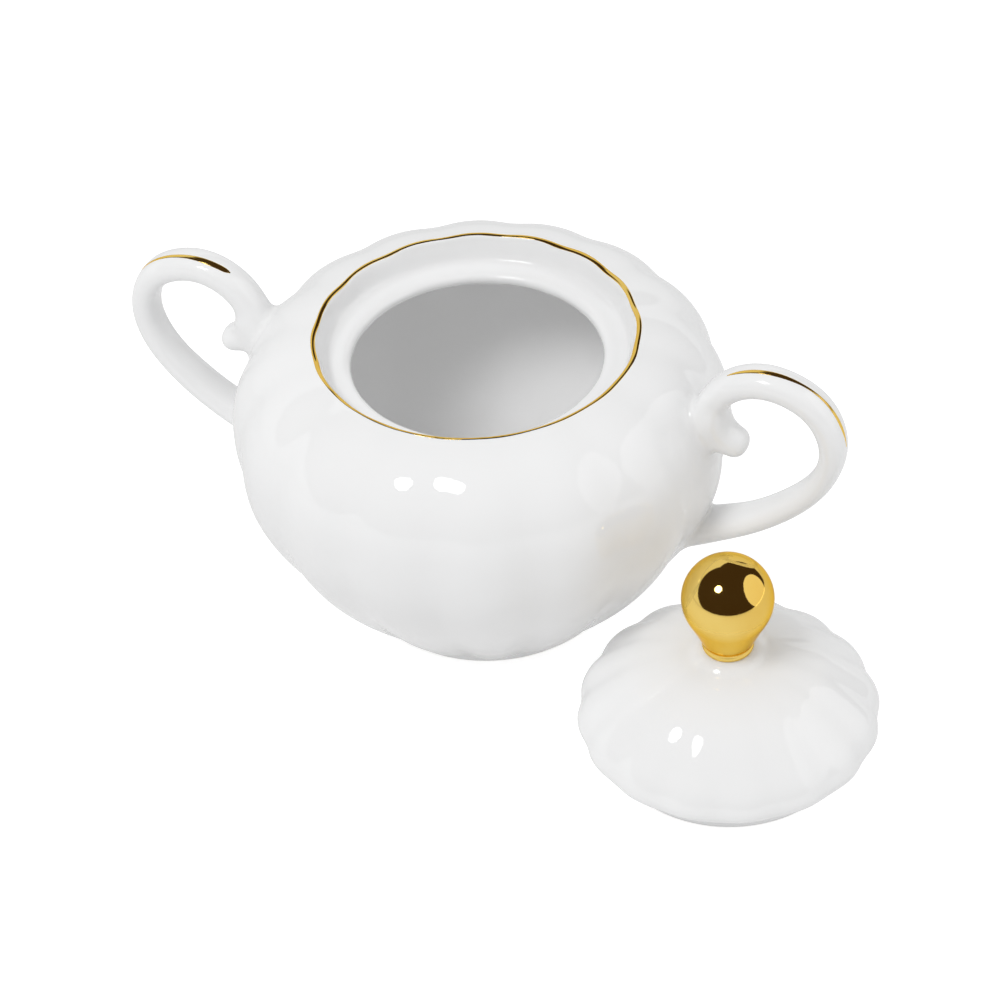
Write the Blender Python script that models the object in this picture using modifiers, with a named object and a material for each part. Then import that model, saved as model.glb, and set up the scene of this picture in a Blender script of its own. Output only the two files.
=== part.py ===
"""A fluted porcelain sugar bowl with two scroll handles, and its lid standing beside it.

The origin is the middle of the whole set's footprint on the table, +Z is up and the two
handles lie along X. Sizes are metres, written as millimetres times MM.
"""

import bisect
from math import atan2, cos, hypot, pi, radians, sin

import bmesh
import bpy
from mathutils import Vector

MM = 0.001

# Driving dimensions of the bowl
BOWL_HEIGHT = 71.0 * MM
BODY_RADIUS = 54.5 * MM
RIM_RADIUS = 35.5 * MM
MOUTH_RADIUS = 27.6 * MM
FOOT_RADIUS = 29.6 * MM
FOOT_HEIGHT = 2.9 * MM
FOOT_WIDTH = 3.0 * MM
BASE_RECESS = 1.6 * MM
WALL = 3.2 * MM
SEAT_DROP = 6.0 * MM  # the lid's seat lies this far below the rim
LIP_DROP = 0.55 * MM  # the porcelain ends this far below the top of the gold band
OVERCUT = 2.0 * MM  # how far a cutter runs past the face it opens

# Driving dimensions of the lid and its knob
LID_RADIUS = 32.4 * MM
LID_EDGE_HEIGHT = 8.8 * MM
LID_UNDERSIDE = 6.9 * MM
LID_CROWN = 28.3 * MM
FLANGE_RADIUS = 26.6 * MM
FLANGE_WALL = 2.6 * MM
KNOB_BALL_RADIUS = 9.8 * MM
KNOB_BALL_CENTRE = 13.3 * MM  # above the knob's own foot
KNOB_FOOT_RADIUS = 5.3 * MM
KNOB_NECK_RADIUS = 4.9 * MM

# The lid stands on the table beside the bowl, this far from the bowl's axis
LID_OFFSET = Vector((68.45 * MM, -33.3 * MM, 0.0))
LID_TURN = radians(3.3)  # how far its lobes are turned from the bowl's

# Flutes run down both the body and the lid, one ridge under each handle
LOBES = 16
STEPS_PER_LOBE = 4  # even, so that steps fall on the ridges and in the valleys
TURN_STEPS = LOBES * STEPS_PER_LOBE
PLAIN_STEPS = 32  # round pieces without lobes need fewer
LOBE_SHARPNESS = 0.12

# How deep the flutes are at each height: (height, depth either side of the mean)
BOWL_FLUTES = [
    (2.95 * MM, 0.0),
    (3.4 * MM, 0.45 * MM),
    (25.0 * MM, 0.5 * MM),
    (45.0 * MM, 0.5 * MM),
    (60.0 * MM, 0.42 * MM),
    (67.0 * MM, 0.3 * MM),
    (70.3 * MM, 0.1 * MM),
]
LID_FLUTES = [
    (LID_UNDERSIDE, 0.0),
    (LID_UNDERSIDE + 0.3 * MM, 0.3 * MM),
    (15.0 * MM, 0.35 * MM),
    (22.0 * MM, 0.0),
]

CLEARANCE = 0.3 * MM  # left between pieces that touch
WELD = 0.01 * MM  # points nearer than this are one point
GOLD_THICKNESS = 0.45 * MM
STRIPE_HALF_WIDTH = 0.75 * MM
STRIPE_TIP = 0.3  # how much of the stripe's size is left at its ends

# The handle's middle line in its own plane, from inside the body, under and round the loop
# to the curled end: (distance from the bowl's axis, height, thickness, width across)
HANDLE_LINE = [
    (43.8 * MM, 26.2 * MM, 7.0 * MM, 12.2 * MM),
    (49.5 * MM, 28.3 * MM, 6.7 * MM, 11.6 * MM),
    (54.9 * MM, 30.7 * MM, 6.0 * MM, 10.7 * MM),
    (60.8 * MM, 33.5 * MM, 5.4 * MM, 10.0 * MM),
    (66.1 * MM, 36.9 * MM, 5.2 * MM, 9.8 * MM),
    (71.4 * MM, 41.2 * MM, 5.2 * MM, 9.5 * MM),
    (76.1 * MM, 46.2 * MM, 5.2 * MM, 9.2 * MM),
    (79.4 * MM, 51.8 * MM, 5.4 * MM, 8.9 * MM),
    (80.9 * MM, 58.0 * MM, 5.7 * MM, 8.6 * MM),
    (80.0 * MM, 64.2 * MM, 6.1 * MM, 8.5 * MM),
    (76.6 * MM, 69.6 * MM, 6.4 * MM, 8.5 * MM),
    (71.2 * MM, 72.8 * MM, 6.6 * MM, 8.5 * MM),
    (65.2 * MM, 73.6 * MM, 6.7 * MM, 8.5 * MM),
    (59.6 * MM, 71.7 * MM, 6.7 * MM, 8.4 * MM),
    (55.7 * MM, 68.0 * MM, 6.6 * MM, 8.2 * MM),
    (54.1 * MM, 64.6 * MM, 7.7 * MM, 8.1 * MM),
    (54.2 * MM, 61.4 * MM, 7.6 * MM, 7.9 * MM),
    (55.2 * MM, 58.3 * MM, 6.8 * MM, 7.6 * MM),
    (57.1 * MM, 56.1 * MM, 5.8 * MM, 7.2 * MM),
    (59.6 * MM, 55.3 * MM, 5.2 * MM, 6.8 * MM),
    (61.3 * MM, 55.5 * MM, 4.0 * MM, 5.2 * MM),
    (62.1 * MM, 55.7 * MM, 1.6 * MM, 2.2 * MM),
]
HANDLE_STEPS = 2  # sections between two points of that line
HANDLE_SIDES = 3  # bevel resolution, which gives ten sides
STRIPE_FIRST = 8  # the gold stripe runs between these two points of that line
STRIPE_LAST = 13

PORCELAIN = (0.90, 0.90, 0.885, 1.0)
GOLD = (0.83, 0.60, 0.24, 1.0)


def clear_scene():
    for obj in list(bpy.data.objects):
        bpy.data.objects.remove(obj, do_unlink=True)


def new_collection(name):
    collection = bpy.data.collections.new(name)
    bpy.context.scene.collection.children.link(collection)
    return collection


def new_material(name, colour, roughness, metallic):
    material = bpy.data.materials.new(name)
    material.use_nodes = True
    shader = material.node_tree.nodes["Principled BSDF"]
    shader.inputs["Base Color"].default_value = colour
    shader.inputs["Roughness"].default_value = roughness
    shader.inputs["Metallic"].default_value = metallic
    return material


def porcelain(name):
    return new_material(name + "_glaze", PORCELAIN, 0.08, 0.0)


def gold(name):
    return new_material(name + "_lustre", GOLD, 0.06, 1.0)


def smooth_line(points, steps):
    """A Catmull-Rom curve through points of any number of coordinates, ends included."""
    ends = [points[0], *points, points[-1]]
    line = []
    for before, start, end, after in zip(ends, ends[1:], ends[2:], ends[3:]):
        for step in range(steps):
            t = step / steps
            line.append(
                tuple(
                    0.5
                    * (
                        2 * b
                        + (c - a) * t
                        + (2 * a - 5 * b + 4 * c - d) * t**2
                        + (3 * b - a - 3 * c + d) * t**3
                    )
                    for a, b, c, d in zip(before, start, end, after)
                )
            )
    line.append(tuple(points[-1]))
    return line


def arc(centre, radius, first, last, steps):
    """Points on a round stretch of a profile, with its angles in degrees."""
    return [
        (
            centre[0] + radius * cos(radians(first + (last - first) * i / steps)),
            centre[1] + radius * sin(radians(first + (last - first) * i / steps)),
        )
        for i in range(steps + 1)
    ]


def evaluated_mesh(obj):
    """The object's mesh with its modifiers applied, as a mesh of its own."""
    graph = bpy.context.evaluated_depsgraph_get()
    return bpy.data.meshes.new_from_object(obj.evaluated_get(graph))


def turned(name, profile, collection, closed=False, steps=TURN_STEPS):
    """A solid turned about Z from a profile that runs down its outer side."""
    mesh = bpy.data.meshes.new(name)
    edges = [(i, i + 1) for i in range(len(profile) - 1)]
    if closed:
        edges.append((len(profile) - 1, 0))
    mesh.from_pydata([(radius, 0.0, height) for radius, height in profile], edges, [])
    guide = bpy.data.objects.new(name + "_profile", mesh)
    bpy.context.scene.collection.objects.link(guide)
    screw = guide.modifiers.new("Turn", "SCREW")
    screw.axis = "Z"
    screw.steps = steps
    screw.render_steps = steps
    screw.use_merge_vertices = True
    screw.merge_threshold = WELD
    solid = bpy.data.objects.new(name, evaluated_mesh(guide))
    solid.data.name = name
    bpy.data.objects.remove(guide, do_unlink=True)
    collection.objects.link(solid)
    return solid


def flute(obj, depths, turn=0.0):
    """Presses the lobes into a turned solid; depths says how deep at each height."""
    heights = [height for height, _ in depths]
    for vertex in obj.data.vertices:
        x, y, z = vertex.co
        radius = hypot(x, y)
        if radius < WELD:
            continue
        place = bisect.bisect_left(heights, z)
        if place == 0:
            depth = depths[0][1]
        elif place == len(heights):
            depth = depths[-1][1]
        else:
            (low, low_depth), (high, high_depth) = depths[place - 1], depths[place]
            depth = low_depth + (high_depth - low_depth) * (z - low) / (high - low)
        angle = atan2(y, x)
        phase = LOBES * (angle - turn)
        wave = cos(phase) + LOBE_SHARPNESS * (1 - cos(2 * phase))
        vertex.co.x += depth * wave * cos(angle)
        vertex.co.y += depth * wave * sin(angle)


def cut(obj, cutter):
    boolean = obj.modifiers.new(cutter.name, "BOOLEAN")
    boolean.object = cutter
    boolean.operation = "DIFFERENCE"
    boolean.solver = "EXACT"


def hide_cutter(cutter):
    cutter.hide_render = True
    cutter.display_type = "WIRE"


def finish(obj, material, sharp_degrees=35):
    obj.data.materials.clear()
    obj.data.materials.append(material)
    obj.data.shade_smooth()
    obj.data.set_sharp_from_angle(angle=radians(sharp_degrees))


def body_outline(growth=0.0):
    """The body's outer side from the rim down to the top of the foot, grown outwards."""
    belly = BODY_RADIUS
    top = BOWL_HEIGHT
    points = [
        (RIM_RADIUS + 0.8 * MM, top - LIP_DROP),
        (39.5 * MM, top - 1.25 * MM),
        (44.2 * MM, top - 3.4 * MM),
        (48.6 * MM, top - 6.8 * MM),
        (51.8 * MM, top - 11.4 * MM),
        (53.8 * MM, top - 17.0 * MM),
        (belly, top - 24.0 * MM),
        (belly - 0.5 * MM, 40.0 * MM),
        (52.2 * MM, 33.6 * MM),
        (48.6 * MM, 25.8 * MM),
        (43.6 * MM, 17.8 * MM),
        (38.4 * MM, 11.0 * MM),
        (34.2 * MM, 6.0 * MM),
        (32.0 * MM, 3.5 * MM),
    ]
    return [(radius + growth, height) for radius, height in points]


def bowl_cavity_profile():
    """The mouth, the lid's seat and the hollow of the bowl, from above the rim to the floor."""
    seat = BOWL_HEIGHT - SEAT_DROP
    lip = RIM_RADIUS + 0.2 * MM
    seat_wall = [
        (lip, BOWL_HEIGHT + OVERCUT),
        (lip, BOWL_HEIGHT - LIP_DROP),
        (RIM_RADIUS - 0.5 * MM, BOWL_HEIGHT - 0.7 * MM),
        (RIM_RADIUS - 0.9 * MM, BOWL_HEIGHT - 1.2 * MM),
        (33.7 * MM, seat + 1.8 * MM),
        (33.2 * MM, seat + 0.6 * MM),
        (32.2 * MM, seat),
        (29.2 * MM, seat),
    ]
    roll = 1.2 * MM
    mouth = arc((MOUTH_RADIUS + roll, seat - 1.3 * MM), roll, 120, 225, 4)
    hollow = [
        (30.5 * MM, seat - 3.4 * MM),
        (36.5 * MM, seat - 1.4 * MM),
        (43.0 * MM, seat - 2.2 * MM),
        (48.0 * MM, seat - 6.8 * MM),
        (BODY_RADIUS - WALL - 0.6 * MM, 50.0 * MM),
        (BODY_RADIUS - WALL - 0.2 * MM, 43.0 * MM),
        (49.0 * MM, 34.0 * MM),
        (44.8 * MM, 25.0 * MM),
        (38.4 * MM, 15.6 * MM),
        (31.6 * MM, 8.6 * MM),
        (24.0 * MM, 5.4 * MM),
        (0.0, 4.8 * MM),
    ]
    return [(0.0, BOWL_HEIGHT + OVERCUT), *seat_wall, *mouth, *hollow]


def make_bowl(parts, cutters):
    profile = [
        (0.0, BOWL_HEIGHT - LIP_DROP),
        *body_outline(),
        (FOOT_RADIUS + 0.5 * MM, FOOT_HEIGHT),
        (FOOT_RADIUS, 0.5 * MM),
        (FOOT_RADIUS - 0.4 * MM, 0.0),
        (FOOT_RADIUS - FOOT_WIDTH, 0.0),
        (FOOT_RADIUS - FOOT_WIDTH - 0.7 * MM, BASE_RECESS),
        (0.0, BASE_RECESS),
    ]
    bowl = turned("bowl", profile, parts)
    flute(bowl, BOWL_FLUTES)
    cavity = turned("cavity_cutter", bowl_cavity_profile(), cutters)
    hide_cutter(cavity)
    cut(bowl, cavity)
    finish(bowl, porcelain("bowl"))
    return bowl, cavity


def make_rim_band(parts):
    """The gold line, a thin ring that caps the rim."""
    top = BOWL_HEIGHT
    section = [
        (RIM_RADIUS, top),
        (RIM_RADIUS + 0.55 * MM, top - 0.1 * MM),
        (RIM_RADIUS + 0.7 * MM, top - 0.22 * MM),
        (RIM_RADIUS, top - 0.25 * MM),
        (RIM_RADIUS - 0.6 * MM, top - 0.4 * MM),
        (RIM_RADIUS - 0.5 * MM, top - 0.16 * MM),
    ]
    band = turned("rim_gold_band", section, parts, closed=True)
    flute(band, BOWL_FLUTES)
    finish(band, gold("rim"))
    return band


def tube(name, line, half_width, half_thickness, collection):
    """An oval tube along a line in the XZ plane, with its own size at each point."""
    curve = bpy.data.curves.new(name, "CURVE")
    curve.dimensions = "3D"
    curve.bevel_depth = 1.0
    curve.bevel_resolution = HANDLE_SIDES
    curve.use_fill_caps = True
    curve.twist_mode = "MINIMUM"
    spline = curve.splines.new("POLY")
    spline.points.add(len(line) - 1)
    for point, (x, z), thickness in zip(spline.points, line, half_thickness):
        point.co = (x, 0.0, z, 1.0)
        point.radius = thickness
    guide = bpy.data.objects.new(name + "_guide", curve)
    bpy.context.scene.collection.objects.link(guide)
    solid = bpy.data.objects.new(name, evaluated_mesh(guide))
    solid.data.name = name
    bpy.data.objects.remove(guide, do_unlink=True)
    collection.objects.link(solid)
    weld_caps(solid)
    widen(solid, line, half_width, half_thickness)
    return solid


def weld_caps(obj):
    shape = bmesh.new()
    shape.from_mesh(obj.data)
    bmesh.ops.remove_doubles(shape, verts=shape.verts, dist=WELD)
    bmesh.ops.recalc_face_normals(shape, faces=shape.faces)
    shape.to_mesh(obj.data)
    shape.free()


def widen(obj, line, half_width, half_thickness):
    """Stretches a round tube across its plane to the width of the nearest point of its line."""
    for vertex in obj.data.vertices:
        x, y, z = vertex.co
        nearest = min(
            range(len(line)), key=lambda i: hypot(x - line[i][0], z - line[i][1])
        )
        vertex.co.y = y * half_width[nearest] / half_thickness[nearest]


def handle_sections():
    return smooth_line(HANDLE_LINE, HANDLE_STEPS)


def make_handle(name, side, bowl_clearance, parts):
    sections = handle_sections()
    handle = tube(
        name,
        [(radius, height) for radius, height, _, _ in sections],
        [width / 2 for _, _, _, width in sections],
        [thickness / 2 for _, _, thickness, _ in sections],
        parts,
    )
    turn_to_side(handle, side)
    cut(handle, bowl_clearance)
    finish(handle, porcelain(name))
    return handle


def make_stripe(name, side, parts):
    """The gold stripe along the handle's outer side, pointed at both ends."""
    sections = handle_sections()
    first = STRIPE_FIRST * HANDLE_STEPS
    last = STRIPE_LAST * HANDLE_STEPS
    line = []
    for before, here, after in zip(
        sections[first - 1 : last], sections[first : last + 1], sections[first + 1 :]
    ):
        along = Vector((after[0] - before[0], after[1] - before[1])).normalized()
        lift = here[2] / 2 + CLEARANCE + GOLD_THICKNESS / 2
        line.append((here[0] + along.y * lift, here[1] - along.x * lift))
    count = len(line)
    taper = [
        max(STRIPE_TIP, sin(pi * i / (count - 1)) ** 0.5) for i in range(count)
    ]
    stripe = tube(
        name,
        line,
        [STRIPE_HALF_WIDTH * size for size in taper],
        [GOLD_THICKNESS / 2 * size for size in taper],
        parts,
    )
    turn_to_side(stripe, side)
    finish(stripe, gold(name))
    return stripe


def turn_to_side(obj, side):
    """Turns a piece made for the +X side round to the -X side."""
    if side < 0:
        for vertex in obj.data.vertices:
            vertex.co.x = -vertex.co.x
            vertex.co.y = -vertex.co.y


def lid_outline():
    """The lid's outer side: crown, ogee dome, scalloped edge, underside and flange."""
    edge = LID_RADIUS
    dome = [
        (0.0, LID_CROWN),
        (5.7 * MM, LID_CROWN),
        (7.2 * MM, 27.5 * MM),
        (10.0 * MM, 26.2 * MM),
        (14.4 * MM, 24.6 * MM),
        (19.4 * MM, 22.3 * MM),
        (24.0 * MM, 19.2 * MM),
        (28.0 * MM, 16.2 * MM),
        (30.6 * MM, 13.2 * MM),
        (edge - 0.3 * MM, 10.3 * MM),
        (edge, LID_EDGE_HEIGHT),
        (edge - 0.3 * MM, LID_UNDERSIDE + 0.4 * MM),
        (edge - 1.0 * MM, LID_UNDERSIDE),
    ]
    flange = [
        (FLANGE_RADIUS + 0.5 * MM, LID_UNDERSIDE),
        (FLANGE_RADIUS, LID_UNDERSIDE - 0.6 * MM),
        (FLANGE_RADIUS - 0.2 * MM, 0.5 * MM),
        (FLANGE_RADIUS - 0.6 * MM, 0.0),
        (0.0, 0.0),
    ]
    return dome + flange


def make_lid(parts, cutters):
    lid = turned("lid", lid_outline(), parts)
    flute(lid, LID_FLUTES, LID_TURN)
    inner = FLANGE_RADIUS - FLANGE_WALL
    hollow = [
        (0.0, LID_CROWN - WALL),
        (5.0 * MM, 24.7 * MM),
        (10.6 * MM, 22.5 * MM),
        (17.4 * MM, 19.4 * MM),
        (inner - 2.0 * MM, 14.0 * MM),
        (inner - 0.4 * MM, 9.0 * MM),
        (inner, 0.5 * MM),
        (inner + 0.5 * MM, 0.0),
        (inner + 0.5 * MM, -OVERCUT),
        (0.0, -OVERCUT),
    ]
    cutter = turned("lid_hollow_cutter", hollow, cutters)
    hide_cutter(cutter)
    cut(lid, cutter)
    finish(lid, porcelain("lid"))
    return lid, cutter


def make_knob(parts):
    """A ball on a cone that narrows to a neck and a small flared foot."""
    ball = arc((0.0, KNOB_BALL_CENTRE), KNOB_BALL_RADIUS, 90, -28, 11)
    ball[0] = (0.0, ball[0][1])
    profile = [
        *ball,
        (7.0 * MM, 5.4 * MM),
        (5.5 * MM, 2.6 * MM),
        (KNOB_NECK_RADIUS, 1.5 * MM),
        (KNOB_NECK_RADIUS + 0.1 * MM, 1.0 * MM),
        (KNOB_FOOT_RADIUS, 0.6 * MM),
        (KNOB_FOOT_RADIUS, 0.0),
        (0.0, 0.0),
    ]
    knob = turned("lid_knob", profile, parts, steps=PLAIN_STEPS)
    finish(knob, gold("knob"))
    return knob


def make_bowl_clearance(cutters):
    """The body grown by the clearance; it trims the handles where they meet the body."""
    profile = [
        (0.0, BOWL_HEIGHT - LIP_DROP),
        *body_outline(CLEARANCE),
        (0.0, FOOT_HEIGHT),
    ]
    cutter = turned("bowl_clearance_cutter", profile, cutters)
    flute(cutter, BOWL_FLUTES)
    hide_cutter(cutter)
    return cutter


def stand_at(pieces, name, place, collection):
    """Parents the pieces to an empty on their own axis, and puts it in its place."""
    stand = bpy.data.objects.new(name, None)
    collection.objects.link(stand)
    stand.location = place
    for piece in pieces:
        piece.parent = stand


def bowl_place():
    """Where the bowl's axis stands, so that the whole set's footprint is centred."""
    handle_reach = max(radius + thick / 2 for radius, _, thick, _ in HANDLE_LINE)
    handle_reach += CLEARANCE + GOLD_THICKNESS
    ridge = max(depth for _, depth in BOWL_FLUTES)
    lid_reach = LID_RADIUS + max(depth for _, depth in LID_FLUTES)
    middle_x = (LID_OFFSET.x + lid_reach - handle_reach) / 2
    middle_y = (LID_OFFSET.y - lid_reach + BODY_RADIUS + ridge) / 2
    return Vector((-middle_x, -middle_y, 0.0))


def main():
    clear_scene()
    parts = new_collection("sugar_bowl")
    cutters = new_collection("sugar_bowl_cutters")

    bowl, cavity = make_bowl(parts, cutters)
    bowl_clearance = make_bowl_clearance(cutters)
    bowl_pieces = [bowl, cavity, bowl_clearance, make_rim_band(parts)]
    for name, side in (("handle_left", -1), ("handle_right", 1)):
        bowl_pieces.append(make_handle(name, side, bowl_clearance, parts))
        bowl_pieces.append(make_stripe(name + "_gold_stripe", side, parts))

    lid, hollow = make_lid(parts, cutters)
    knob = make_knob(parts)
    knob.location.z = LID_CROWN + CLEARANCE

    stand_at(bowl_pieces, "bowl_axis", bowl_place(), parts)
    stand_at([lid, hollow, knob], "lid_axis", bowl_place() + LID_OFFSET, parts)


main()
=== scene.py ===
"""The looks of the fluted porcelain sugar bowl: fine shells, glaze, fired gold and a soft studio.

Every length in the tables below is in millimetres; a height is above the table and a radius
is from the axis of the bowl or of the lid. Each shell is built round that axis and is then
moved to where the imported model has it.
"""

from math import cos, pi, radians, sin  # noqa: E402

import bpy  # noqa: E402
import numpy as np  # noqa: E402
from mathutils import Matrix, Vector  # noqa: E402


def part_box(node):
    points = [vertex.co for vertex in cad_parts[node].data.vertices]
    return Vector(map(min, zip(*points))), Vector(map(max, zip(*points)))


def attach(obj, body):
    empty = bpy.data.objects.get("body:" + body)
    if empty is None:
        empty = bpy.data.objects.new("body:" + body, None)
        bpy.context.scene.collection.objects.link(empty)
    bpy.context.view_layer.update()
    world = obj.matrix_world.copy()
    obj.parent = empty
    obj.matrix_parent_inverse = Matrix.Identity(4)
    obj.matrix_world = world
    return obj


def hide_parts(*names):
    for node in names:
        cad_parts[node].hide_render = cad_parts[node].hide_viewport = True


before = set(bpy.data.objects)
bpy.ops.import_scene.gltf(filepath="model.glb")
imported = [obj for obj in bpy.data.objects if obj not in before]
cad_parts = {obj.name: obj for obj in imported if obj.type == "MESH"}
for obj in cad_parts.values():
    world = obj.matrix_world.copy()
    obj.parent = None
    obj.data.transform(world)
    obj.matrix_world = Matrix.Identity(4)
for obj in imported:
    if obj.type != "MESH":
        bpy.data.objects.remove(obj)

MM = 0.001

# Flutes
LOBES = 16
LOBE_SHARPNESS = 0.12
LID_TURN = radians(3.3)  # how far the lid's flutes are turned from the bowl's
TURN_STEPS = 20 * LOBES

# Profiles are (radius, height), sampled about this finely
PROFILE_STEP = 0.45

BOWL_OUTER = [
    (35.45, 70.74),
    (36.1, 70.66),
    (37.3, 70.38),
    (40.0, 69.65),
    (44.2, 67.75),
    (48.6, 64.1),
    (51.8, 59.5),
    (53.8, 53.9),
    (54.48, 46.8),
    (53.95, 39.8),
    (52.1, 33.4),
    (48.6, 25.8),
    (43.6, 17.8),
    (38.4, 11.0),
    (34.5, 6.4),
    (32.4, 4.0),
    (31.75, 3.35),
    (31.1, 3.02),
    (30.45, 2.85),
    (30.0, 2.45),
    (29.82, 1.7),
    (29.68, 0.8),
    (29.5, 0.28),
    (29.1, 0.03),
    (28.6, 0.0),
    (27.9, 0.0),
    (27.3, 0.04),
    (26.9, 0.3),
    (26.55, 0.85),
    (26.0, 1.45),
    (25.0, 1.75),
    (22.0, 1.82),
    (14.0, 1.85),
    (6.0, 1.85),
    (0.0, 1.85),
]
BOWL_INNER = [
    (0.0, 4.85),
    (6.0, 4.9),
    (14.0, 5.05),
    (24.0, 6.0),
    (31.6, 9.2),
    (38.4, 15.9),
    (44.8, 25.3),
    (49.0, 34.3),
    (51.1, 43.2),
    (50.9, 50.0),
    (48.6, 57.2),
    (45.4, 61.2),
    (41.0, 63.2),
    (36.5, 63.4),
    (32.0, 62.3),
    (29.4, 61.85),
    (28.2, 62.25),
    (27.68, 62.95),
    (27.6, 63.6),
    (27.8, 64.25),
    (28.3, 64.72),
    (29.0, 64.93),
    (30.0, 64.99),
    (31.2, 65.0),
    (32.2, 65.12),
    (32.95, 65.5),
    (33.4, 66.15),
    (33.72, 67.2),
    (34.1, 68.5),
    (34.45, 69.6),
    (34.72, 70.25),
    (35.02, 70.62),
    (35.45, 70.74),
]
# (height, depth of the flutes either side of the mean)
BOWL_FLUTES = [
    (2.85, 0.0),
    (3.1, 0.25),
    (3.7, 0.46),
    (12.0, 0.58),
    (32.0, 0.58),
    (44.0, 0.5),
    (60.0, 0.5),
    (64.0, 0.54),
    (67.0, 0.48),
    (69.4, 0.24),
    (70.4, 0.12),
    (71.0, 0.1),
]
INSIDE_FLUTES = [
    (12.0, 0.0),
    (25.0, 0.12),
    (50.0, 0.12),
    (60.0, 0.03),
    (65.2, 0.02),
    (67.5, 0.07),
    (71.0, 0.1),
]

# (height, rise of the rim on a ridge)
RIM_WAVE = [(66.0, 0.0), (70.0, 0.09), (71.0, 0.1)]

LID_OUTER = [
    (0.0, 28.35),
    (3.0, 28.35),
    (5.2, 28.3),
    (6.0, 28.15),
    (7.0, 27.65),
    (8.0, 27.0),
    (9.0, 26.55),
    (10.5, 26.1),
    (14.4, 24.65),
    (19.4, 22.4),
    (22.0, 20.85),
    (25.0, 18.5),
    (28.0, 15.85),
    (30.6, 13.1),
    (31.9, 10.6),
    (32.3, 9.0),
    (32.1, 7.85),
    (31.5, 7.15),
    (30.4, 6.9),
    (28.8, 6.88),
    (27.5, 6.75),
    (26.85, 6.2),
    (26.6, 5.2),
    (26.55, 3.0),
    (26.5, 1.0),
    (26.3, 0.3),
    (25.8, 0.02),
    (25.2, 0.0),
    (24.6, 0.03),
    (24.2, 0.35),
    (24.05, 1.0),
    (24.0, 4.0),
    (23.7, 9.0),
    (22.2, 13.9),
    (17.4, 18.7),
    (10.6, 22.1),
    (5.0, 24.5),
    (0.0, 25.0),
]
# (radius, depth of the flutes either side of the mean)
LID_FLUTES = [
    (10.0, 0.0),
    (15.0, 0.05),
    (20.0, 0.1),
    (26.0, 0.2),
    (29.0, 0.28),
    (31.0, 0.33),
    (33.0, 0.35),
]
LID_UNDERSIDE = 6.9  # the flutes end here, below the lid's edge
LID_RIDGE_LIFT = 0.45  # how far a ridge also rises, against how far it stands out

KNOB = [
    (9.8, 41.9),
    (9.66, 40.25),
    (9.3, 38.8),
    (8.78, 37.45),
    (8.16, 36.15),
    (7.35, 34.4),
    (6.55, 32.6),
    (5.85, 31.0),
    (5.4, 30.15),
    (5.3, 29.85),
    (5.38, 29.55),
    (5.5, 29.25),
    (5.52, 28.95),
    (5.45, 28.65),
    (5.3, 28.42),
    (4.6, 28.34),
    (2.4, 28.3),
    (0.0, 28.3),
]
KNOB_BALL_RADIUS = 9.8
KNOB_BALL_HEIGHT = 41.9

# The handle's middle line: (distance from the bowl's axis, height, thickness, width)
STRAP = [
    (44.6, 26.6, 6.6, 11.4),
    (49.5, 28.4, 6.4, 10.9),
    (54.9, 30.8, 5.9, 10.2),
    (60.8, 33.6, 5.3, 9.6),
    (66.1, 36.9, 5.1, 9.3),
    (71.4, 41.2, 5.1, 9.1),
    (76.1, 46.2, 5.1, 8.8),
    (79.4, 51.8, 5.3, 8.6),
    (80.9, 58.0, 5.6, 8.4),
    (80.0, 64.2, 5.9, 8.3),
    (76.6, 69.6, 6.2, 8.3),
    (71.2, 72.75, 6.4, 8.2),
    (65.2, 73.55, 6.5, 8.2),
    (59.6, 71.65, 6.5, 8.2),
    (55.7, 68.0, 6.5, 8.2),
    (53.7, 63.8, 6.9, 8.2),
    (53.2, 59.6, 6.6, 7.8),
    (53.4, 56.6, 4.4, 6.4),
]
TONGUE = [
    (54.0, 60.6, 6.6, 7.8),
    (54.9, 58.4, 7.0, 7.9),
    (56.7, 56.7, 6.6, 7.8),
    (58.1, 55.85, 6.2, 7.6),
    (59.2, 55.4, 5.9, 7.4),
]
STRAP_ROUNDNESS = 2.5  # 2 is an ellipse, more is squarer
# (share along the strap, distance from its middle towards +Y, half width)
STRIPES = {
    "left": [
        (0.618, -1.1, 0.06),
        (0.645, -1.12, 0.28),
        (0.68, -1.15, 0.4),
        (0.73, -1.3, 0.5),
        (0.77, -1.4, 0.66),
        (0.8, -1.32, 0.68),
        (0.818, -1.16, 0.5),
        (0.825, -1.08, 0.12),
    ],
    "right": [
        (0.53, 0.1, 0.08),
        (0.558, 0.0, 0.36),
        (0.6, -0.15, 0.48),
        (0.65, -0.15, 0.34),
        (0.7, -0.3, 0.42),
        (0.74, -0.6, 0.58),
        (0.78, -0.85, 0.52),
        (0.81, -1.05, 0.34),
        (0.826, -1.15, 0.08),
    ],
}

# Where the handle's shape is worked out, and how its parts flow together
HANDLE_GRID = {"x": (43.0, 85.6), "y": (-9.0, 9.1), "z": (19.0, 79.1)}
HANDLE_GRID_STEP = 0.5
TONGUE_BLEND = 3.6
SOFTEN_PASSES = 3
BODY_BLEND_LOW, BODY_BLEND_HIGH = 1.5, 2.5  # at the lower joint and at the upper one
BODY_BLEND_HEIGHTS = (44.0, 54.0)
SKIRT_WIDTH = 0.8  # how far the handle's glaze runs on past the blend
SKIRT_LIFT = 0.012
ROOT_DEPTH = 1.0

# The painted gold
GOLD_LIFT = 0.035  # above the glaze
GOLD_EDGE_LIFT = {"rim": 0.004, "stripe": 0.008}
RIM_GOLD_DEPTH = 0.09
STRIPE_SINK = 0.03
STRIPE_DEPTH = 0.06
BRUSH_STEPS = 10  # across a painted line
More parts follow.
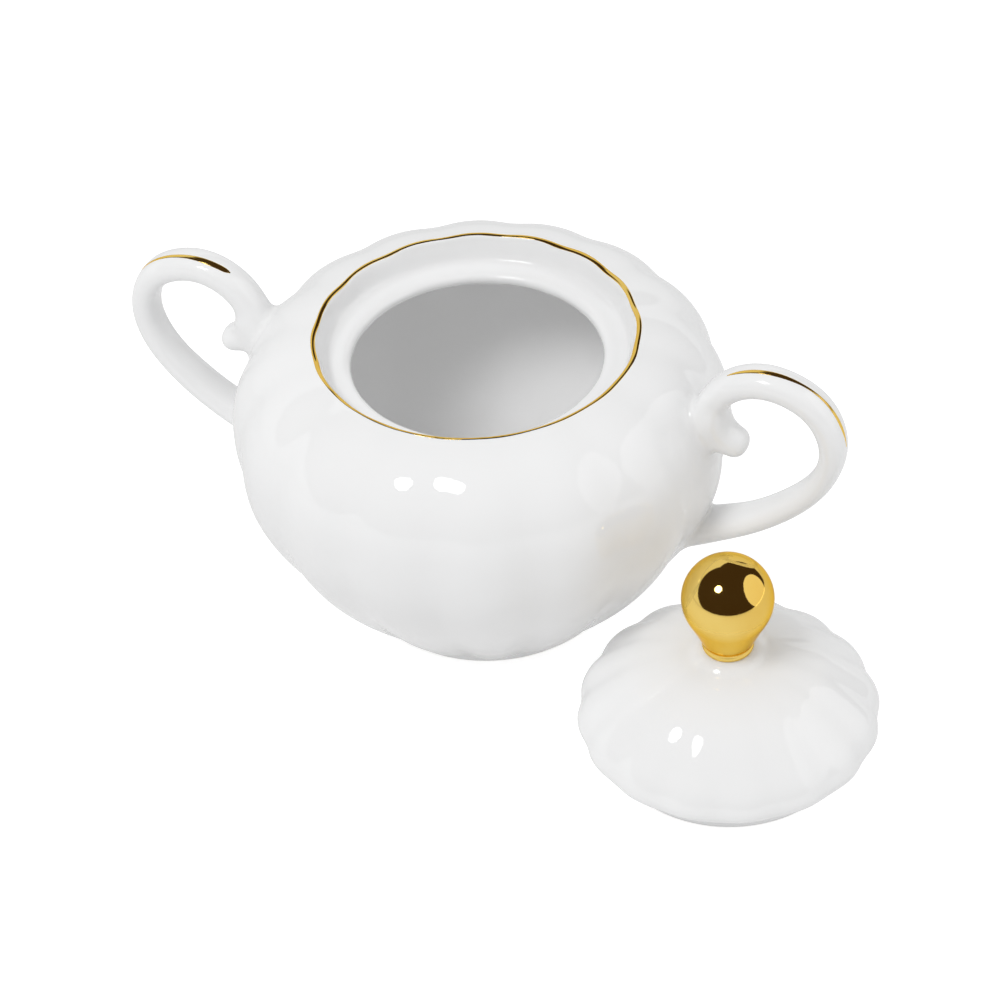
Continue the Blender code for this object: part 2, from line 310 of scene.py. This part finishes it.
# How far the rim line reaches from the crest, inwards and outwards, and how the brush wavers:
# (size, waves round, phase)
RIM_LINE_START = -0.77
RIM_LINE_START_WAVES = [
    (0.22, 1, -0.41888),
    (0.1, 2, -2.40856),
    (0.07, 3, 0.6),
    (0.05, 11, 2.0),
    (0.035, 29, 1.1),
]
RIM_LINE_END = 0.37
RIM_LINE_END_WAVES = [(0.12, 1, 0.0), (0.07, 1, 1.15192), (0.06, 5, 1.7), (0.05, 17, 0.0)]
RIM_LINE_FROM = 69.0  # the height above which the rim line can lie

# Colours, linear
WHITE = (0.908, 0.91, 0.912)
CAVITY_PAINTED_LIGHT = (0.962, 0.962, 0.962)  # painted light: the inside is painted whiter, to stand in for light that scatters in the clay and bounces about inside
PAINTED_LIGHT_TOP, PAINTED_LIGHT_FADE = 63.5, 3.0
SPECK = (0.60, 0.585, 0.56)
BISCUIT_DARK, BISCUIT_PALE = (0.66, 0.65, 0.62), (0.78, 0.77, 0.75)
FOOT_BARE_HEIGHT = 0.0004  # metres, up to where the foot is left unglazed
GOLD_DEEP = (0.87, 0.57, 0.12)
GOLD_PALE = (0.94, 0.69, 0.2)
GOLD_EDGE = (0.93, 0.72, 0.34)

# Studio, in metres: each light faces LIGHT_TARGET
LIGHT_TARGET = (0.02, -0.01, 0.03)
KEY_DIRECTION = (-0.204, -0.481, 0.853)
PANEL_DIRECTION = (0.883, 0.29, 0.369)
# (direction, half angle) of the two overlapping dark parts of the room
ROOM = [((0.0, -0.52, 0.85), radians(68)), ((0.6, 0.05, 0.8), radians(68))]
ROOM_COLOUR = (0.05, 0.032, 0.02)
SWEEP_COLOUR = (0.8, 0.8, 0.8)
BACKDROP_COLOUR = (0.96, 0.96, 0.96)
# The soft light of the whole room on matt surfaces: its side, and its strength away and near
FILL_DIRECTION = (-0.4, -0.3, 0.86)
FILL = (0.13, 0.69)
FLOOR_HALF_SIZE = 6.0
FLOOR_DROP = 0.00005
FLOOR_GLOW, FLOOR_GLOW_SEEN = 0.29, 0.7  # for the light it sends out, and for the camera
DIFFUSE_BOUNCES = 10

# Camera
CAMERA_AZIMUTH, CAMERA_ELEVATION = radians(24.05), radians(41.43)
CAMERA_ROLL = radians(-3.87)
CAMERA_TARGET = (-0.00205, -0.00154, 0.03)
CAMERA_DISTANCE = 0.71444
CAMERA_LENS = 115.43


# ---------------------------------------------------------------- curves


def natural_spline(points, step):
    """A smooth curve through the points, sampled about evenly; any number of coordinates."""
    points = np.array(points, float)
    gaps = np.sqrt(np.linalg.norm(np.diff(points[:, :2], axis=0), axis=1))
    count = len(points)
    matrix = np.eye(count)
    target = np.zeros_like(points)
    for i in range(1, count - 1):
        before, after = gaps[i - 1], gaps[i]
        matrix[i, i - 1 : i + 2] = before, 2 * (before + after), after
        target[i] = 6 * (
            (points[i + 1] - points[i]) / after - (points[i] - points[i - 1]) / before
        )
    bend = np.linalg.solve(matrix, target)
    samples = []
    for i in range(count - 1):
        gap = gaps[i]
        number = max(2, int(round(gap**2 / step)))
        u = (np.arange(number) / number)[:, None] * gap
        v = gap - u
        samples.append(
            bend[i] * v**3 / (6 * gap)
            + bend[i + 1] * u**3 / (6 * gap)
            + (points[i] / gap - bend[i] * gap / 6) * v
            + (points[i + 1] / gap - bend[i + 1] * gap / 6) * u
        )
    samples.append(points[-1:])
    return np.concatenate(samples)


def lobe_wave(angle):
    return np.cos(LOBES * angle) + LOBE_SHARPNESS * (1 - np.cos(2 * LOBES * angle))


def depth_at(table, height):
    heights, depths = zip(*table)
    return np.interp(height, heights, depths)


# ---------------------------------------------------------------- meshes


def new_piece(name, vertices, faces, material, place, normals=None):
    """A smooth mesh piece; vertices are in millimetres about its own axis."""
    mesh = bpy.data.meshes.new(name)
    vertices = np.array(vertices, float) * MM + np.array(place)
    mesh.from_pydata(vertices.tolist(), [], [list(face) for face in faces])
    mesh.validate()
    mesh.update()
    mesh.shade_smooth()
    if normals is not None:
        mesh.normals_split_custom_set_from_vertices(normals.tolist())
    piece = bpy.data.objects.new(name, mesh)
    bpy.context.scene.collection.objects.link(piece)
    mesh.materials.append(material)
    return piece


def turned_shell(section, push, lift, turn=0.0):
    """Vertices and faces of a section turned round, its first and last point on the axis.

    push and lift say how far each point of the section moves out and up on a ridge.
    """
    angle = np.arange(TURN_STEPS) * 2 * pi / TURN_STEPS
    wave = lobe_wave(angle - turn)
    ring_sections = section[1:-1]
    radius = ring_sections[:, 0, None] + push[1:-1, None] * wave
    height = np.maximum(ring_sections[:, 1, None] + lift[1:-1, None] * wave, 0.0)
    rings = np.stack([radius * np.cos(angle), radius * np.sin(angle), height], axis=2)
    vertices = [(0.0, 0.0, section[0, 1])]
    vertices += rings.reshape(-1, 3).tolist()
    vertices.append((0.0, 0.0, section[-1, 1]))
    last = len(vertices) - 1
    faces = []
    for step in range(TURN_STEPS):
        after = (step + 1) % TURN_STEPS
        faces.append((0, 1 + step, 1 + after))
        end = 1 + (len(ring_sections) - 1) * TURN_STEPS
        faces.append((last, end + after, end + step))
        for ring in range(len(ring_sections) - 1):
            low = 1 + ring * TURN_STEPS
            high = low + TURN_STEPS
            faces.append((low + step, high + step, high + after, low + after))
    return vertices, faces


def oval_distance(across, sideways, half_thickness, half_width):
    """About how far a point is outside a tube of that section, in millimetres."""
    power = STRAP_ROUNDNESS
    a = np.maximum(across, 1e-4) / half_thickness
    c = np.maximum(np.abs(sideways), 1e-4) / half_width
    size = (a**power + c**power) ** (1 / power)
    slope = size ** (1 - power) * np.hypot(
        a ** (power - 1) / half_thickness, c ** (power - 1) / half_width
    )
    return (size - 1) / slope


def tube_field(line, x, y, z):
    """The distance outside a tube along a line in the XZ plane, on a grid of x, y and z."""
    grid_x, grid_z = np.meshgrid(x, z, indexing="ij")
    best = np.full(grid_x.shape, np.inf)
    size = np.zeros(grid_x.shape + (2,))
    for start, end in zip(line[:-1], line[1:]):
        along = end[:2] - start[:2]
        share = (grid_x - start[0]) * along[0] + (grid_z - start[1]) * along[1]
        share = np.clip(share / (along @ along), 0, 1)
        far = np.hypot(
            grid_x - start[0] - share * along[0], grid_z - start[1] - share * along[1]
        )
        nearer = far < best
        best = np.where(nearer, far, best)
        here = start[2:] + share[..., None] * (end[2:] - start[2:])
        size = np.where(nearer[..., None], here, size)
    return oval_distance(
        best[:, None, :],
        y[None, :, None],
        size[:, None, :, 0] / 2,
        size[:, None, :, 1] / 2,
    )


def smooth_union(one, other, blend):
    share = np.maximum(blend - np.abs(one - other), 0) / blend
    return np.minimum(one, other) - share**2 * blend / 4


def body_field(outline, x, y, z):
    """The distance outside the fluted body, on a grid of x, y and z."""
    radius = np.arange(30.0, 90.0, 0.5)
    grid_r, grid_z = np.meshgrid(radius, z, indexing="ij")
    distance = np.full(grid_r.shape, np.inf)
    for start, end in zip(outline[:-1], outline[1:]):
        along = end - start
        share = (grid_r - start[0]) * along[0] + (grid_z - start[1]) * along[1]
        share = np.clip(share / (along @ along), 0, 1)
        far = np.hypot(
            grid_r - start[0] - share * along[0], grid_z - start[1] - share * along[1]
        )
        distance = np.minimum(distance, far)
    order = np.argsort(outline[:, 1])
    edge = np.interp(grid_z, outline[order, 1], outline[order, 0], right=0.0)
    distance = np.where(grid_r < edge, -distance, distance)
    push = np.gradient(distance, radius, axis=0) * depth_at(BOWL_FLUTES, grid_z)
    grid_x, grid_y = np.meshgrid(x, y, indexing="ij")
    reach, wave = np.hypot(grid_x, grid_y), lobe_wave(np.arctan2(grid_y, grid_x))
    layers = [
        np.interp(reach, radius, distance[:, k]) - wave * np.interp(reach, radius, push[:, k])
        for k in range(len(z))
    ]
    return np.stack(layers, axis=2)


def surface_net(field, shading, axes):
    """Vertices, quads and normals of the surface where the field is zero.

    The normals are the slope of the shading field, which has no sharp cuts in it.
    """
    inside = field < 0
    corners = [(i, j, k) for i in (0, 1) for j in (0, 1) for k in (0, 1)]
    shape = np.array(field.shape) - 1

    def part(array, offset):
        return array[tuple(slice(o, o + n) for o, n in zip(offset, shape))]

    filled = sum(part(inside, corner).astype(int) for corner in corners)
    active = (filled > 0) & (filled < 8)
    number = -np.ones(active.shape, int)
    number[active] = np.arange(active.sum())
    total = np.zeros(active.shape + (3,))
    hits = np.zeros(active.shape)
    for axis in range(3):
        step = np.zeros(3, int)
        step[axis] = 1
        for corner in corners:
            if corner[axis]:
                continue
            low, high = part(field, corner), part(field, tuple(np.array(corner) + step))
            crossing = (low < 0) != (high < 0)
            share = np.where(crossing, low / np.where(crossing, low - high, 1), 0)
            point = np.array(corner, float) + share[..., None] * step
            total += np.where(crossing[..., None], point, 0)
            hits += crossing
    place = total[active] / hits[active][:, None] + np.argwhere(active)
    quads = []
    for axis in range(3):
        u, v = (axis + 1) % 3, (axis + 2) % 3
        start = [slice(1, -1)] * 3
        start[axis] = slice(0, -1)
        end = list(start)
        end[axis] = slice(1, None)
        low, high = inside[tuple(start)], inside[tuple(end)]
        for crossing, outward in ((low & ~high, True), (~low & high, False)):
            cell = np.argwhere(crossing)
            cell[:, u] += 1
            cell[:, v] += 1
            ring = []
            for du, dv in ((1, 1), (0, 1), (0, 0), (1, 0)):
                near = cell.copy()
                near[:, u] -= du
                near[:, v] -= dv
                ring.append(number[tuple(near.T)])
            quad = np.stack(ring, axis=1)
            quads.append(quad if outward else quad[:, ::-1])
    quads = np.concatenate(quads)
    steps = np.array([axis[1] - axis[0] for axis in axes])
    origin = np.array([axis[0] for axis in axes])
    slopes = np.stack(np.gradient(shading, *steps), axis=3)
    normals = grid_sample(slopes, place)
    normals /= np.linalg.norm(normals, axis=1)[:, None]
    return origin + place * steps, quads, normals


def grid_sample(values, place):
    """The values on a grid at points between its nodes."""
    low = np.clip(place.astype(int), 0, np.array(values.shape[:3]) - 2)
    share = place - low
    result = 0
    for corner in ((i, j, k) for i in (0, 1) for j in (0, 1) for k in (0, 1)):
        weight = np.prod(np.where(corner, share, 1 - share), axis=1, keepdims=True)
        result = result + weight * values[tuple((low + corner).T)]
    return result


def soften(field, passes):
    """Rounds the creases of a field a little, which a coat of glaze does."""
    for _ in range(passes):
        for axis in range(3):
            field = np.moveaxis(field, axis, 0)
            inner = (field[:-2] + 2 * field[1:-1] + field[2:]) / 4
            field = np.concatenate([field[:1], inner, field[-1:]])
            field = np.moveaxis(field, 0, axis)
    return field


def handle_shape(outline):
    """The handle on the +X side, flowing into the body at both of its joints."""
    x, y, z = (np.arange(*HANDLE_GRID[axis], HANDLE_GRID_STEP) for axis in "xyz")
    strap = tube_field(natural_spline(STRAP, 0.8), x, y, z)
    tongue = tube_field(natural_spline(TONGUE, 0.5), x, y, z)
    tube = soften(smooth_union(strap, tongue, TONGUE_BLEND), SOFTEN_PASSES)
    body = body_field(outline, x, y, z)
    low, high = BODY_BLEND_HEIGHTS
    upper = np.clip((z - low) / (high - low), 0, 1)
    upper = upper**2 * (3 - 2 * upper)
    blend = BODY_BLEND_LOW + (BODY_BLEND_HIGH - BODY_BLEND_LOW) * upper
    blended = smooth_union(tube, body - SKIRT_LIFT, blend[None, None, :])
    embedded = -(body + ROOT_DEPTH)
    near = tube - blend[None, None, :] - SKIRT_WIDTH
    field = np.maximum(np.maximum(blended, embedded), near)
    return surface_net(field, blended, (x, y, z))


# ---------------------------------------------------------------- materials


class Nodes:
    """Adds nodes to a tree and links them."""

    def __init__(self, tree):
        self.tree = tree

    def add(self, kind, links=None, values=None, **settings):
        node = self.tree.nodes.new(kind)
        for key, value in settings.items():
            setattr(node, key, value)
        for key, value in (values or {}).items():
            node.inputs[key].default_value = value
        for key, output in (links or {}).items():
            self.tree.links.new(output, node.inputs[key])
        return node

    def math(self, operation, one, other):
        return self.add("ShaderNodeMath", {0: one, 1: other}, operation=operation).outputs[0]

    def span(self, factor, low, high, start=0.0, end=1.0, **settings):
        values = {"From Min": start, "From Max": end, "To Min": low, "To Max": high}
        node = self.add("ShaderNodeMapRange", {"Value": factor}, values, **settings)
        return node.outputs["Result"]

    def towards(self, point, direction):
        values = {1: Vector(direction).normalized()}
        node = self.add("ShaderNodeVectorMath", {0: point}, values, operation="DOT_PRODUCT")
        return node.outputs["Value"]

    def mix(self, factor, one, other, blend="MIX"):
        node = self.add("ShaderNodeMix", data_type="RGBA", blend_type=blend)
        for socket, given in ((0, factor), (6, one), (7, other)):
            if isinstance(given, (int, float, tuple)):
                node.inputs[socket].default_value = given
            else:
                self.tree.links.new(given, node.inputs[socket])
        return node.outputs[2]


class Material(Nodes):
    """Builds a Principled material node by node."""

    def __init__(self, name):
        self.material = bpy.data.materials.new(name)
        self.material.use_nodes = True
        super().__init__(self.material.node_tree)
        self.shader = self.tree.nodes["Principled BSDF"]
        self.point = self.add("ShaderNodeTexCoord").outputs["Object"]

    def noise(self, scale, detail=2.0, roughness=0.5):
        values = {"Scale": scale, "Detail": detail, "Roughness": roughness}
        return self.add("ShaderNodeTexNoise", {"Vector": self.point}, values).outputs["Fac"]

    def ramp(self, factor, stops):
        node = self.add("ShaderNodeValToRGB", {"Fac": factor})
        for element, (position, colour) in zip(node.color_ramp.elements, stops):
            element.position, element.color = position, colour
        return node.outputs["Color"]

    def specks(self, scale, size, rarity, strength):
        """Small round spots on some of the cells of a pattern, one to a cell."""
        cells = self.add("ShaderNodeTexVoronoi", {"Vector": self.point}, {"Scale": scale})
        spots = self.ramp(
            cells.outputs["Distance"], [(size[0], grey(1.0)), (size[1], grey(0.0))]
        )
        chance = self.ramp(
            cells.outputs["Color"], [(rarity[0], grey(0.0)), (rarity[1], grey(strength))]
        )
        return self.mix(1.0, spots, chance, "MULTIPLY")

    def bump(self, height, distance, under=None):
        links = {"Height": height}
        if under is not None:
            links["Normal"] = under
        values = {"Strength": 1.0, "Distance": distance}
        return self.add("ShaderNodeBump", links, values).outputs["Normal"]

    def use(self, **links):
        for key, output in links.items():
            self.tree.links.new(output, self.shader.inputs[key.replace("_", " ")])
        return self.material


def rgba(colour):
    return (*colour, 1.0)


def grey(value):
    return (value, value, value, 1.0)


def porcelain_glaze():
    """White porcelain under clear glaze; bare biscuit where it stands on the table."""
    look = Material("porcelain_glaze")
    shaded = tuple(c * 0.985 for c in WHITE)
    colour = look.ramp(look.noise(38.0, 3.0), [(0.3, rgba(shaded)), (0.7, rgba(WHITE))])
    specks = look.specks(170.0, size=(0.012, 0.03), rarity=(0.90, 0.93), strength=0.5)
    colour = look.mix(specks, colour, rgba(SPECK))
    height = look.add("ShaderNodeSeparateXYZ", {"Vector": look.point}).outputs["Z"]
    edge = look.math("ADD", height, look.span(look.noise(420.0), -0.0002, 0.0002))
    bare = look.span(edge, 0.0, 1.0, FOOT_BARE_HEIGHT + 0.00012, FOOT_BARE_HEIGHT - 0.00004)
    biscuit = look.ramp(
        look.noise(2600.0, 2.0), [(0.3, rgba(BISCUIT_DARK)), (0.7, rgba(BISCUIT_PALE))]
    )
    colour = look.mix(bare, colour, biscuit)
    # Painted light: the inside of the bowl is painted whiter, standing in for light that scatters
    # and bounces in it
    painted_cavity_light = look.add("ShaderNodeAttribute", attribute_name="painted_cavity_light").outputs["Fac"]
    colour = look.mix(painted_cavity_light, colour, rgba(CAVITY_PAINTED_LIGHT))
    polish = look.span(look.noise(90.0, 4.0), 0.006, 0.03)
    rough = look.mix(bare, polish, grey(0.62))
    ripple = look.bump(look.noise(70.0, 1.0), 0.00009)
    peel = look.bump(look.noise(900.0, 1.0), 0.0000035, ripple)
    look.shader.inputs["IOR"].default_value = 1.5
    return look.use(Base_Color=colour, Roughness=rough, Normal=peel)


def fired_gold(name, wander, roughness):
    """Bright burnished gold: a metal film with faint clouds, a slight waver, fine grain and
    specks.
    """
    look = Material(name)
    colour = look.ramp(look.noise(60.0, 3.0), [(0.32, rgba(GOLD_DEEP)), (0.68, rgba(GOLD_PALE))])
    dust = look.specks(900.0, size=(0.05, 0.14), rarity=(0.78, 0.9), strength=0.7)
    rough = look.span(look.noise(240.0, 3.0), 0.6 * roughness, 1.4 * roughness)
    rough = look.mix(dust, rough, grey(0.35))
    wobble = look.bump(look.noise(55.0, 1.0), wander)
    grain = look.bump(look.noise(2200.0, 1.0), 0.000002, wobble)
    look.shader.inputs["Metallic"].default_value = 1.0
    look.shader.inputs["Specular Tint"].default_value = rgba(GOLD_EDGE)
    return look.use(Base_Color=colour, Roughness=rough, Normal=grain)


def studio_floor():
    """Matt white paper, lit from behind as far as the camera can tell."""
    look = Material("studio_floor")
    colour = look.ramp(look.noise(3.0), [(0.3, grey(0.57)), (0.7, grey(0.59))])
    seen = look.add("ShaderNodeLightPath").outputs["Is Camera Ray"]
    glow = look.span(seen, FLOOR_GLOW, FLOOR_GLOW_SEEN)
    look.shader.inputs["Roughness"].default_value = 0.75
    look.shader.inputs["Specular IOR Level"].default_value = 0.1
    look.shader.inputs["Emission Color"].default_value = grey(1.0)
    return look.use(Base_Color=colour, Emission_Strength=glow)


# ---------------------------------------------------------------- pieces


def make_bowl(place, material):
    outer = natural_spline(BOWL_OUTER, PROFILE_STEP)
    inner = natural_spline(BOWL_INNER, PROFILE_STEP)
    push_outer = depth_at(BOWL_FLUTES, outer[:, 1])
    push_outer[outer[:, 0] < 31.0] = 0  # under the foot
    push_inner = depth_at(INSIDE_FLUTES, inner[:, 1])
    # From under the foot, up the outside, over the rim and mouth, and down to the floor inside
    section = np.concatenate([inner, outer[1:]])[::-1]
    push = np.concatenate([push_inner, push_outer[1:]])[::-1]
    vertices, faces = turned_shell(section, push, depth_at(RIM_WAVE, section[:, 1]))
    piece = new_piece("bowl_shell", vertices, faces, material, place)
    inside = np.arange(len(section)) >= len(outer) - 1
    inside = np.concatenate([inside[:1], np.repeat(inside[1:-1], TURN_STEPS), inside[-1:]])
    # Painted light mask: 1 on the inside wall and floor, fading to 0 towards the ledge under the
    # mouth
    depth = (PAINTED_LIGHT_TOP - np.array(vertices)[:, 2]) / PAINTED_LIGHT_FADE
    painted_cavity_light = piece.data.attributes.new("painted_cavity_light", "FLOAT", "POINT")
    painted_cavity_light.data.foreach_set("value", (inside * np.clip(depth, 0, 1)).astype(np.float32))
    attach(piece, "bowl")
    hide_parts("bowl")
    return outer[outer[:, 1] > 3.4]  # the body above its foot


def waver(angle, waves):
    return sum(size * np.sin(count * angle + phase) for size, count, phase in waves)


def make_rim_line(place, material):
    """The painted gold line over the rim, a little uneven in width as a brush leaves it."""
    outer = natural_spline(BOWL_OUTER, 0.1)
    inner = natural_spline(BOWL_INNER, 0.1)
    rim = np.concatenate(
        [inner[inner[:, 1] > RIM_LINE_FROM], outer[1:][outer[1:, 1] > RIM_LINE_FROM]]
    )
    length = np.concatenate([[0], np.cumsum(np.linalg.norm(np.diff(rim, axis=0), axis=1))])
    crest = length[np.argmax(rim[:, 1])]
    slope = np.gradient(rim, axis=0)
    normal = np.stack([-slope[:, 1], slope[:, 0]], axis=1)
    normal /= np.linalg.norm(normal, axis=1)[:, None]
    count = 2 * TURN_STEPS
    angle = np.arange(count) * 2 * pi / count
    start = crest + RIM_LINE_START + waver(angle, RIM_LINE_START_WAVES)
    end = crest + RIM_LINE_END + waver(angle, RIM_LINE_END_WAVES)
    share = np.linspace(0, 1, BRUSH_STEPS + 1)
    along = start[:, None] + share * (end - start)[:, None]
    thick = GOLD_LIFT * np.minimum(1, 6 * np.minimum(share, 1 - share))
    thick += GOLD_EDGE_LIFT["rim"]

    def on_rim(values):
        return np.stack([np.interp(along, length, column) for column in values.T], axis=2)

    top = on_rim(rim) + thick[:, None] * on_rim(normal)
    bottom = top - RIM_GOLD_DEPTH * on_rim(normal)
    ring = np.concatenate([top, bottom[:, ::-1]], axis=1)
    wave = lobe_wave(angle)[:, None]
    radius = ring[..., 0] + depth_at(BOWL_FLUTES, ring[..., 1]) * wave
    height = ring[..., 1] + depth_at(RIM_WAVE, ring[..., 1]) * wave
    across, sideways = np.cos(angle)[:, None], np.sin(angle)[:, None]
    vertices = np.stack([radius * across, radius * sideways, height], axis=2)
    size = ring.shape[1]
    faces = []
    for i in range(count):
        j = (i + 1) % count
        for k in range(size):
            m = (k + 1) % size
            faces.append((i * size + k, j * size + k, j * size + m, i * size + m))
    piece = new_piece("rim_gold_line", vertices.reshape(-1, 3), faces, material, place)
    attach(piece, "bowl")
    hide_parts("rim_gold_band")


def make_handles(place, outline, material):
    vertices, quads, normals = handle_shape(outline)
    for name, side in (("left", -1), ("right", 1)):
        turn = np.array([side, side, 1.0])
        piece = new_piece(
            f"handle_{name}_scroll", vertices * turn, quads, material, place, normals * turn
        )
        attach(piece, "bowl")
        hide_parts(f"handle_{name}")


def make_stripe(name, side, place, material):
    """The gold stripe along the crest of the strap, fading to a point at its outer end."""
    line = natural_spline(STRAP, 0.5)
    share, offset, half_width = natural_spline(STRIPES[name], 0.005).T
    index = np.arange(len(line)) / len(line)
    line = np.stack([np.interp(share, index, column) for column in line.T], axis=1)
    slope = np.gradient(line[:, :2], axis=0)
    slope /= np.linalg.norm(slope, axis=1)[:, None]
    count = len(line)
    place_across = np.linspace(-1, 1, BRUSH_STEPS + 1)
    sideways = side * (offset[:, None] + half_width[:, None] * place_across)
    rise = 1 - (np.abs(sideways) / (line[:, 3, None] / 2)) ** STRAP_ROUNDNESS
    surface = line[:, 2, None] / 2 * rise ** (1 / STRAP_ROUNDNESS) - STRIPE_SINK
    edge = GOLD_LIFT * np.minimum(1, 4 * (1 - np.abs(place_across)))

    def at_level(level):
        x = line[:, 0, None] + slope[:, 1, None] * level
        z = line[:, 1, None] - slope[:, 0, None] * level
        return np.stack([x, sideways, z], axis=2)

    top = at_level(surface + edge + GOLD_EDGE_LIFT["stripe"])
    bottom = at_level(surface - STRIPE_DEPTH)
    ring = np.concatenate([top, bottom[:, ::-1]], axis=1)
    size = ring.shape[1]
    faces = [tuple(range(size)), tuple(range(count * size - 1, (count - 1) * size - 1, -1))]
    for i in range(count - 1):
        for k in range(size):
            m = (k + 1) % size
            faces.append((i * size + k, i * size + m, (i + 1) * size + m, (i + 1) * size + k))
    vertices = ring.reshape(-1, 3) * np.array([side, side, 1.0])
    piece = new_piece(f"handle_{name}_stripe", vertices, faces, material, place)
    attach(piece, "bowl")
    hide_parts(f"handle_{name}_gold_stripe")


def make_lid(place, material):
    section = natural_spline(LID_OUTER, PROFILE_STEP)
    push = depth_at(LID_FLUTES, section[:, 0])
    under = np.arange(len(section)) > np.argmax(section[:, 0])
    push[under] *= np.clip(section[under, 1] - LID_UNDERSIDE, 0, 1)
    vertices, faces = turned_shell(section, push, push * LID_RIDGE_LIFT, LID_TURN)
    piece = new_piece("lid_shell", vertices, faces, material, place)
    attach(piece, "lid")
    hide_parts("lid")


def make_knob(place, material):
    angle = np.radians(np.arange(90, 0, -2.5))
    ball = KNOB_BALL_RADIUS * np.stack([np.cos(angle), np.sin(angle)], axis=1)
    ball[:, 1] += KNOB_BALL_HEIGHT
    section = np.concatenate([ball, natural_spline(KNOB, 0.3)])
    still = np.zeros(len(section))
    vertices, faces = turned_shell(section, still, still)
    piece = new_piece("lid_knob_gilt", vertices, faces, material, place)
    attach(piece, "lid")
    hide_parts("lid_knob")


# ---------------------------------------------------------------- studio


def make_floor():
    size = FLOOR_HALF_SIZE
    mesh = bpy.data.meshes.new("studio_floor")
    corners = [(-size, -size, 0), (size, -size, 0), (size, size, 0), (-size, size, 0)]
    mesh.from_pydata(corners, [], [(0, 1, 2, 3)])
    floor = bpy.data.objects.new("studio_floor", mesh)
    floor.location.z = -FLOOR_DROP
    bpy.context.scene.collection.objects.link(floor)
    mesh.materials.append(studio_floor())


def make_light(name, direction, distance, diameter, radiance):
    """A round area light that faces the object, as bright as radiance says at any size."""
    direction = Vector(direction).normalized()
    light = bpy.data.lights.new(name, "AREA")
    light.shape = "DISK"
    light.size = diameter
    light.energy = radiance * pi * pi * diameter**2 / 4
    lamp = bpy.data.objects.new(name, light)
    bpy.context.scene.collection.objects.link(lamp)
    lamp.location = Vector(LIGHT_TARGET) + direction * distance
    lamp.rotation_euler = direction.to_track_quat("Z", "Y").to_euler()
    return lamp


def make_world():
    """A white sweep all round, and the dark of the room above the camera, in reflections."""
    world = bpy.data.worlds.new("studio")
    bpy.context.scene.world = world
    world.use_nodes = True
    world.node_tree.nodes.clear()
    look = Nodes(world.node_tree)
    point = look.add("ShaderNodeTexCoord").outputs["Generated"]
    caps = [
        look.span(
            look.towards(point, direction),
            0.0,
            1.0,
            cos(half_angle) - 0.02,
            cos(half_angle) + 0.03,
            interpolation_type="SMOOTHSTEP",
        )
        for direction, half_angle in ROOM
    ]
    room = look.mix(look.math("MAXIMUM", *caps), rgba(SWEEP_COLOUR), rgba(ROOM_COLOUR))
    fill = look.span(look.towards(point, FILL_DIRECTION), *FILL, start=-1.0)
    path = look.add("ShaderNodeLightPath")
    lighting = look.mix(path.outputs["Is Glossy Ray"], fill, room)
    seen = look.mix(path.outputs["Is Camera Ray"], lighting, rgba(BACKDROP_COLOUR))
    background = look.add("ShaderNodeBackground", {"Color": seen})
    look.add("ShaderNodeOutputWorld", {"Surface": background.outputs[0]})


def make_camera():
    azimuth, elevation = CAMERA_AZIMUTH, CAMERA_ELEVATION
    forward = Vector(
        (-sin(azimuth) * cos(elevation), cos(azimuth) * cos(elevation), -sin(elevation))
    )
    level = Vector((cos(azimuth), sin(azimuth), 0.0))
    right = level * cos(CAMERA_ROLL) + level.cross(forward) * sin(CAMERA_ROLL)
    up = right.cross(forward)
    camera = bpy.data.cameras.new("camera")
    camera.lens = CAMERA_LENS
    camera.clip_start = 0.05
    camera.clip_end = 50
    viewer = bpy.data.objects.new("camera", camera)
    bpy.context.scene.collection.objects.link(viewer)
    place = Vector(CAMERA_TARGET) - forward * CAMERA_DISTANCE
    turn = Matrix((right, up, -forward)).transposed().to_4x4()
    viewer.matrix_world = Matrix.Translation(place) @ turn
    bpy.context.scene.camera = viewer


def axis_of(node):
    low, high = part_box(node)
    return ((low.x + high.x) / 2, (low.y + high.y) / 2, 0.0)


def main():
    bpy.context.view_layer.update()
    bowl_axis, lid_axis = axis_of("bowl"), axis_of("lid")

    glaze = porcelain_glaze()
    stripe_gold = fired_gold("fired_gold", wander=0.00012, roughness=0.14)
    outline = make_bowl(bowl_axis, glaze)
    make_rim_line(bowl_axis, fired_gold("fired_gold_rim", wander=0.0004, roughness=0.06))
    make_handles(bowl_axis, outline, glaze)
    make_stripe("left", -1, bowl_axis, stripe_gold)
    make_stripe("right", 1, bowl_axis, stripe_gold)
    make_lid(lid_axis, glaze)
    make_knob(lid_axis, fired_gold("fired_gold_knob", wander=0.00006, roughness=0.06))

    make_floor()
    make_world()
    make_light("key", KEY_DIRECTION, distance=1.1, diameter=0.32, radiance=9.2)
    diffuser = make_light("key_diffuser", KEY_DIRECTION, distance=1.12, diameter=0.5, radiance=3.3)
    diffuser.visible_glossy = False
    make_light("panel", PANEL_DIRECTION, distance=1.2, diameter=1.45, radiance=0.9)
    make_camera()
    bpy.context.scene.view_settings.view_transform = "Standard"
    bpy.context.scene.cycles.diffuse_bounces = DIFFUSE_BOUNCES


main()
